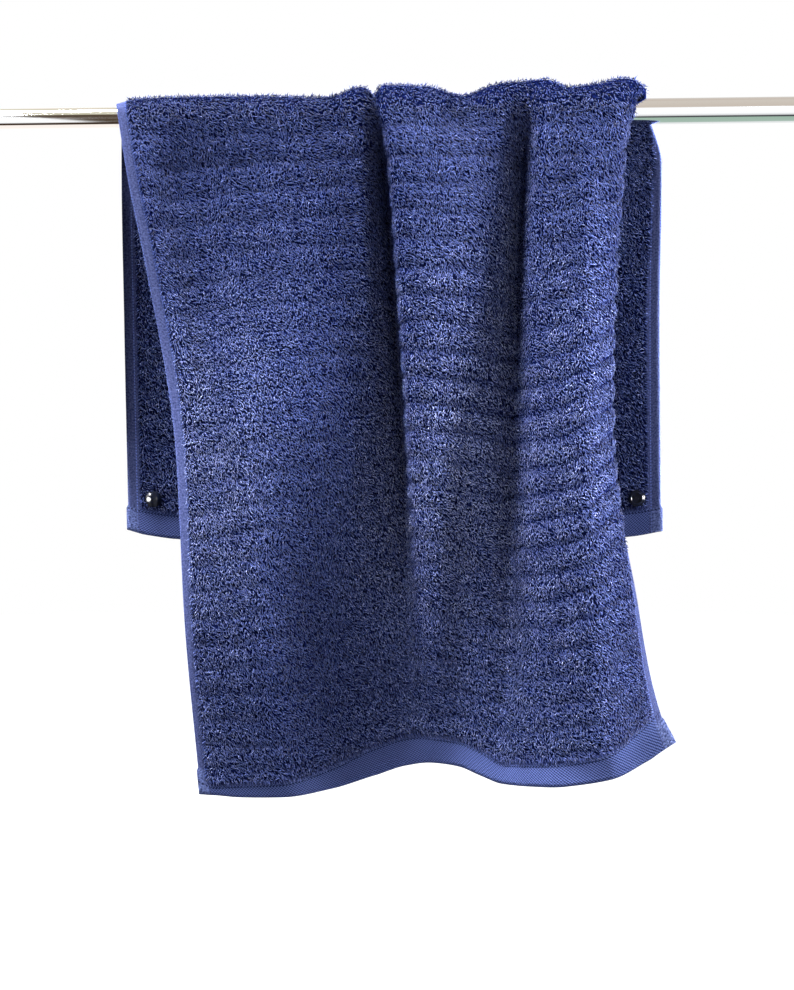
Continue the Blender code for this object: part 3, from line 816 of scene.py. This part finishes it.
# Pile: uncut loops of soft two-ply cotton, thrown up on both faces by the terry loom. Each stands
# 2 to 3 mm out of the ground and leans its own way, and in places they curl in small clumps. The
# yarn is too fine to show, so a loop is drawn as a wider tuft of four faces.
LOOP_FIELDS = {
    # way from, way to, side from, side to, step across, step along, and -1 for the inner face
    "pile_front_top": ((-10.0, 284.0, 0.0, 1.0, 1.25, 2.11, 1),),
    "pile_front_bottom": ((284.0, 590.0, 0.0, 1.0, 1.19, 1.99, 1),),
    "pile_back": ((-385.0, -10.0, 0.0, 1.0, 1.6, 2.6, 1),),
    "pile_inside": (
        (-385.0, 6.0, 0.0, 0.16, 1.3, 2.2, -1),
        (-385.0, 6.0, 0.86, 1.0, 1.3, 2.2, -1),
        (350.0, 590.0, 0.0, 1.0, 2.0, 3.2, -1),
    ),
}
# A loop's length and half width, in mm, each with the shares of it that loops have. Where they
# hang over the bare hems and selvedges they are longer.
LOOP_LENGTH, LENGTH_SHARES = 4.0, (0.7, 1.2)
LOOP_RADIUS, RADIUS_SHARES = 0.5, (0.75, 1.25)
OVERHANG = 3.5
HEM_LONGER, SIDE_LONGER = 1.5, 1.2
CLUMP_SIZE = 9.0
# The nap leans to the left by this angle in radians, and by more or less over bumps of a size.
COMBED = -0.45
LEAN = 0.45
LEAN_SIZE = 45.0
# How far a loop's crown is lifted, in mm, and how far more if it strays or stands upright. More
# of them stray, and many stand upright, within these ways of the crest over the rod.
LIFT = (-0.7, 0.35)
STRAY_LIFT = (0.4, 1.9)
UPRIGHT_LIFT = (0.3, 2.4)
UPRIGHT_SHARE = 0.55
CREST_STRAY = 30
CREST_UPRIGHT = 26
# Yarn, from its shaded root to its pale crown, mottled by its two plies.
LOOP_TONES = ((0.0, "030623"), (0.34, "2E3B6D"), (0.61, "4F5D95"), (1.0, "AEB6D8"))
PLY_SCALE = 1400.0
PLY_TONES = (0.4, 1.5)
# Painted shade and light on each tuft: its root and one side painted in shade, its other side and
# its crown painted lit, for a mean tone with its spread. Some loops are specks, paler or darker,
# and less of the tone is left at the bare edges and, as painted shade, on the inner face of the
# back half.
TUFT_PAINTED_SHADING = (0.0, 0.02, 1.5, 1.28)
MEAN_TONE = 0.61
TONE_SPREAD = 0.09
PALE_SPECK, PALER = 0.94, 0.18
DARK_SPECK, DARKER = 0.08, 0.35
EDGE_TONE = 0.75
INSIDE_PAINTED_SHADE = 0.8
# How dark the grooves between the ribs are, where the ribs are flattened and how much more where
# they are bold.
GROOVE_SHADE = (0.1, 0.26)
loops_material, tree, shader = new_material("cotton_terry_loops")
tone = add_node(tree, "ShaderNodeAttribute", attribute_name="tone")
thing = add_node(tree, "ShaderNodeTexCoord")
plies = add_node(
    tree,
    "ShaderNodeTexNoise",
    {"Vector": thing.outputs["Object"], "Scale": PLY_SCALE, "Detail": 1.0},
)
ply_tone = add_node(
    tree,
    "ShaderNodeMapRange",
    {
        "Value": plies.outputs["Fac"],
        "From Min": 0.3,
        "From Max": 0.7,
        "To Min": PLY_TONES[0],
        "To Max": PLY_TONES[1],
    },
)
loop_tone = add_node(
    tree,
    "ShaderNodeMath",
    {0: tone.outputs["Fac"], 1: ply_tone.outputs["Result"]},
    operation="MULTIPLY",
)
loop_colour = add_node(tree, "ShaderNodeValToRGB", {"Fac": loop_tone.outputs[0]})
set_ramp(loop_colour, LOOP_TONES)
tree.links.new(loop_colour.outputs["Color"], shader.inputs["Base Color"])
shader.inputs["Roughness"].default_value = 0.8
shader.inputs["Specular IOR Level"].default_value = 0.0
shader.inputs["Sheen Weight"].default_value = 0.06

for seed, (name, fields) in enumerate(LOOP_FIELDS.items()):
    random = np.random.default_rng(seed)
    # Where the loops are rooted: staggered rows, shaken, with a few missing.
    all_ways, all_sides, all_faces = [], [], []
    for way_from, way_to, side_from, side_to, step_across, step_along, face in fields:
        for row, way in enumerate(np.arange(way_from + step_along / 2, way_to, step_along)):
            width = np.interp(way, NET_WAYS, net_widths)
            start = side_from * width + step_across * (row % 2) / 2
            across = np.arange(start, side_to * width, step_across)
            across = across + random.uniform(-0.45, 0.45, len(across)) * step_across
            all_sides.append(across / width)
            all_ways.append(way + random.uniform(-0.5, 0.5, len(across)) * step_along)
            all_faces.append(np.full(len(across), face))
    ways = np.concatenate(all_ways)
    sides = np.clip(np.concatenate(all_sides), 0, 1)
    face = np.concatenate(all_faces)
    widths = np.interp(ways, NET_WAYS, net_widths)
    half, pile, wave, from_side, past_side, past_hem = half_height(ways, sides, widths)
    clumps = wander(ways, sides * widths, CLUMP_SIZE, 11)
    curly = ease(0.5 + 0.35 * clumps + 0.5 * (wave - 0.6))
    rooted = pile > random.uniform(0.25, 0.75, len(ways))
    keep = rooted & (random.uniform(0, 1, len(ways)) > 0.03 + 0.1 * curly)
    ways, sides, face, half, wave, curly, past_side, past_hem = (
        values[keep] for values in (ways, sides, face, half, wave, curly, past_side, past_hem)
    )
    count = len(ways)

    # Which way each leans: down the cloth and to the left, but out over the bare edges.
    middle = on_net(net_points, ways, sides)
    normal = on_net(net_normals, ways, sides)
    normal /= np.linalg.norm(normal, axis=1, keepdims=True)
    normal *= face[:, None]
    down = on_net(net_down, ways, sides) * np.where(ways > 0, 1, -1)[:, None]
    down /= np.linalg.norm(down, axis=1, keepdims=True)
    over = np.cross(down, normal)
    turn = COMBED + LEAN * wander(ways, sides * TOWEL_WIDTH, LEAN_SIZE, 12)
    turn = turn + random.normal(0, 0.22 + 0.38 * curly)
    at_hem = past_hem < OVERHANG
    at_side = (past_side < OVERHANG) & ~at_hem
    outwards = np.where(sides < 0.5, -1, 1) * np.sign(over[:, 0])
    aimed_out = np.where(at_side, 0.9 * outwards + 0.5 * turn, turn)
    turn = np.where(at_hem, 0.4 * turn, aimed_out)
    along = down * np.cos(turn)[:, None] + over * np.sin(turn)[:, None]
    aside = np.cross(normal, along)

    # How long, thick and high each is.
    combed_out = 1.35 - 0.35 * ease((np.abs(ways) - 40) / 150)
    edge_length = np.where(at_hem, HEM_LONGER, np.where(at_side, SIDE_LONGER, 1))
    length = LOOP_LENGTH * combed_out * random.uniform(*LENGTH_SHARES, count) * edge_length
    radius = LOOP_RADIUS * random.uniform(*RADIUS_SHARES, count)
    top = half - 0.3 + random.uniform(-0.3, 0.25, count) * (0.5 + curly)
    lift = random.uniform(*LIFT, count)
    stray = random.uniform(0, 1, count) < 0.03 + 0.1 * (np.abs(ways) < CREST_STRAY)
    lift = lift + stray * random.uniform(*STRAY_LIFT, count)
    upright = (np.abs(ways) < CREST_UPRIGHT) & (random.uniform(0, 1, count) < UPRIGHT_SHARE)
    lift = lift + upright * random.uniform(*UPRIGHT_LIFT, count)
    root = half - LOOP_DEPTH - 0.2

    def spot(height, forward, sideways):
        """Points at heights over the cloth's middle, forward along the loop and to its side."""
        sideways = np.broadcast_to(sideways, (count,))[:, None]
        return middle + normal * height[:, None] + along * forward[:, None] + aside * sideways

    belly = length * random.uniform(-0.1, 0.15, count)
    back_end = spot(root, -length / 2, 0)
    one_side = spot(top - radius * 0.3, belly, radius)
    other_side = spot(top - radius * 0.3, belly, -radius)
    crown = spot(top + lift, length / 2, 0)
    back_end = back_end + (one_side + other_side - 2 * back_end) * 0.1
    points = np.stack([back_end, one_side, other_side, crown], axis=1).reshape(-1, 3)
    shape = np.array([[0, 2, 1], [3, 1, 2], [0, 1, 3], [0, 3, 2]])
    faces = (shape[None] + 4 * np.arange(count)[:, None, None]).reshape(-1, 3)
    pile_piece = quick_mesh(name, points, faces)

    # How pale each is.
    speck = random.uniform(0, 1, count)
    own = MEAN_TONE + random.normal(0, TONE_SPREAD, count)
    own = own + PALER * (speck > PALE_SPECK) - DARKER * (speck < DARK_SPECK)
    own = own + (random.uniform(0, 1, count) - 0.6) * 0.3 * curly
    groove_shade = GROOVE_SHADE[0] + GROOVE_SHADE[1] * rib_boldness(ways, sides)
    own = own * (1 - groove_shade * (1 - wave))
    # Painted shade: the loops on the inner face of the back half are darker, as it lies in shade
    # behind the front half.
    back_inside_shade = np.where(face < 0, INSIDE_PAINTED_SHADE, 1)
    # Painted light and shade on the front loops, from the same patches as the cloth.
    own = own * np.where(ways > 0, painted_light_and_shade(ways, middle[:, 0] - MIDDLE_X / MM), back_inside_shade)
    own = own * np.where(at_side | at_hem, EDGE_TONE, 1)
    # Each tuft carries painted shade and light: root and one side dark, the other side and the
    # crown pale.
    set_values(pile_piece.data, "tone", own[:, None] * np.array(TUFT_PAINTED_SHADING))
    grid = math.ceil(math.sqrt(count))
    cell = np.stack([np.arange(count) % grid, np.arange(count) // grid], axis=1)[:, None] / grid
    in_cell = np.array([[0.1, 0.5], [0.5, 0.9], [0.5, 0.1], [0.9, 0.5]]) / grid
    set_map(pile_piece.data, "OFBake", (cell + in_cell[None]).reshape(-1, 2)[faces])
    pile_piece.data.materials.append(loops_material)
    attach(pile_piece, "root")

# Rod: chromed steel tube, the thin one sliding in the thick one, whose drawn end is under the
# cloth. Polished and plated, so it mirrors the room in long bands with faint draw lines.
THIN_RADIUS = 8.75
THICK_RADIUS = 10.9
THICK_START = 455.0
ROD_LENGTH = 720.0
TUBE_OVERLAP = 60.0
TUBE_GAP = 0.3
TUBE_CHAMFER = 0.5
TUBE_SIDES = 128
CHROME = "E2E3E4"
CHROME_ROUGHNESS = (0.03, 0.08)
DRAW_STRETCH = (2.0, 90.0, 90.0)


def turned(name, profile, sides, placed):
    """A closed turned piece: a disc drawn out ring by ring, in mm, to each radius and height."""
    bpy.ops.object.select_all(action="DESELECT")
    radius, height = profile[0]
    bpy.ops.mesh.primitive_circle_add(
        vertices=sides,
        radius=radius * MM,
        fill_type="NGON",
        location=(0, 0, height * MM),
    )
    piece = bpy.context.object
    piece.name = name
    bpy.ops.object.transform_apply(location=True, rotation=True, scale=True)
    bpy.ops.object.mode_set(mode="EDIT")
    bpy.ops.mesh.select_all(action="SELECT")
    for new_radius, new_height in profile[1:]:
        rise = (0, 0, (new_height - height) * MM)
        bpy.ops.mesh.extrude_region_move(TRANSFORM_OT_translate={"value": rise})
        spread = new_radius / radius
        bpy.ops.transform.resize(value=(spread, spread, 1), center_override=(0, 0, 0))
        radius, height = new_radius, new_height
    bpy.ops.mesh.select_all(action="SELECT")
    bpy.ops.mesh.normals_make_consistent(inside=False)
    bpy.ops.object.mode_set(mode="OBJECT")
    bpy.ops.object.shade_smooth_by_angle(angle=math.radians(40))
    piece.matrix_world = placed
    bpy.ops.object.transform_apply(location=True, rotation=True, scale=True)
    return piece


chrome, tree, shader = new_material("polished_chrome_plate")
thing = add_node(tree, "ShaderNodeTexCoord")
stretch = add_node(
    tree,
    "ShaderNodeMapping",
    {"Vector": thing.outputs["Object"], "Scale": DRAW_STRETCH},
)
draw_lines = add_node(
    tree,
    "ShaderNodeTexNoise",
    {"Vector": stretch.outputs["Vector"], "Scale": 4.0, "Detail": 3.0},
)
gloss = add_node(
    tree,
    "ShaderNodeMapRange",
    {
        "Value": draw_lines.outputs["Fac"],
        "From Min": 0.3,
        "From Max": 0.7,
        "To Min": CHROME_ROUGHNESS[0],
        "To Max": CHROME_ROUGHNESS[1],
    },
)
tree.links.new(gloss.outputs["Result"], shader.inputs["Roughness"])
shader.inputs["Base Color"].default_value = linear(CHROME)
shader.inputs["Metallic"].default_value = 1.0

thin_length = THICK_START + TUBE_OVERLAP
thick_length = ROD_LENGTH - THICK_START
bore = THIN_RADIUS + TUBE_GAP
along_rod = Matrix.Rotation(math.pi / 2, 4, "Y")
thin_profile = [
    (THIN_RADIUS - TUBE_CHAMFER, 0),
    (THIN_RADIUS, TUBE_CHAMFER),
    (THIN_RADIUS, thin_length - TUBE_CHAMFER),
    (THIN_RADIUS - TUBE_CHAMFER, thin_length),
]
thick_profile = [
    (THICK_RADIUS - TUBE_CHAMFER, thick_length),
    (THICK_RADIUS, thick_length - TUBE_CHAMFER),
    (THICK_RADIUS, TUBE_CHAMFER),
    (THICK_RADIUS - TUBE_CHAMFER, 0),
    (bore, 0),
    (bore, TUBE_OVERLAP + TUBE_GAP),
]
tubes = {
    "rod_inner_tube": (thin_profile, along_rod),
    "rod_outer_tube": (thick_profile, Matrix.Translation((THICK_START * MM, 0, 0)) @ along_rod),
}
for node, (profile, placed) in tubes.items():
    tube = turned(node + "_chromed", profile, TUBE_SIDES, placed)
    tube.data.materials.append(chrome)
    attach(tube, "root")
    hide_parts(node)

# Press studs: two halves and their caps, moulded in nylon dyed like the cloth and glossy, riveted
# through the back half near its corners. The stud works on the outer face, the socket on the inner.
STUD_FROM_SIDE = 23.0
SOCKET_FROM_SIDE = 20.5
SNAP_WAY = -(WRAP + BACK_DROP - 33.0)
SNAP_RADIUS = 7.2
SNAP_SEAT = PILE_HALF + 0.3
SNAP_SIDES = 64
NYLON_DARK, NYLON_PALE = "070A14", "0D1222"
FLOW_SCALE = 350.0


def rounded(centre_radius, centre_height, radius, start, end, steps=10):
    """Rings on a round edge, from one angle to another in degrees."""
    turns = [math.radians(start + (end - start) * step / steps) for step in range(steps + 1)]
    return [
        (centre_radius + radius * math.cos(turn), centre_height + radius * math.sin(turn))
        for turn in turns
    ]


FLANGE = [(0.4, 0)] + rounded(SNAP_RADIUS - 0.65, 0.65, 0.65, -90, 90)
STUD_TOP = rounded(2.0, 2.9, 0.7, 60, 90, 4) + [(0.4, 3.6)]
STUD_BULB = [(2.7, 1.3), (2.7, 1.8)] + rounded(2.0, 2.75, 1.4, -50, 60) + STUD_TOP
SOCKET_RING = [(6.0, 1.3), (6.0, 2.0)] + rounded(5.0, 2.0, 1.0, 0, 180, 16) + [(4.0, 1.3)]
SOCKET_RIVET = [(1.8, 1.3), (1.8, 1.75)] + rounded(1.35, 1.75, 0.45, 0, 90, 6) + [(0.4, 2.2)]
CAP_DOME = [
    (SNAP_RADIUS * (1 - step / 16), 0.6 + 2.2 * (1 - (1 - step / 16) ** 2)) for step in range(16)
]
CAP = [(0.4, 0), (SNAP_RADIUS - 0.3, 0), (SNAP_RADIUS, 0.3)] + CAP_DOME

nylon, tree, shader = new_material("moulded_nylon")
thing = add_node(tree, "ShaderNodeTexCoord")
flow = add_node(
    tree,
    "ShaderNodeTexNoise",
    {"Vector": thing.outputs["Object"], "Scale": FLOW_SCALE, "Detail": 2.0},
)
nylon_colour = add_node(tree, "ShaderNodeValToRGB", {"Fac": flow.outputs["Fac"]})
set_ramp(nylon_colour, ((0.35, NYLON_DARK), (0.65, NYLON_PALE)))
tree.links.new(nylon_colour.outputs["Color"], shader.inputs["Base Color"])
shader.inputs["Roughness"].default_value = 0.12
shader.inputs["Specular IOR Level"].default_value = 0.16


def corner_frame(from_left, face):
    """A frame on one face of the back half near its hem, its +Z straight out of the cloth."""
    way = np.array([SNAP_WAY])
    place = np.array([from_left / back_width])
    middle = Vector(on_net(net_points, way, place)[0])
    out = Vector(on_net(net_normals, way, place)[0]).normalized() * face
    facing = out.to_track_quat("Z", "Y").to_matrix().to_4x4()
    return Matrix.Translation((middle + out * SNAP_SEAT) * MM) @ facing


back_width = np.interp(SNAP_WAY, NET_WAYS, net_widths)
studs = {
    "snap_stud": (FLANGE + STUD_BULB, STUD_FROM_SIDE, 1),
    "snap_stud_cap": (CAP, STUD_FROM_SIDE, -1),
    "snap_socket": (FLANGE + SOCKET_RING + SOCKET_RIVET, back_width - SOCKET_FROM_SIDE, -1),
    "snap_socket_cap": (CAP, back_width - SOCKET_FROM_SIDE, 1),
}
for node, (profile, from_left, face) in studs.items():
    half_stud = turned(node + "_moulded", profile, SNAP_SIDES, corner_frame(from_left, face))
    half_stud.data.materials.append(nylon)
    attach(half_stud, "root")
    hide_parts(node)
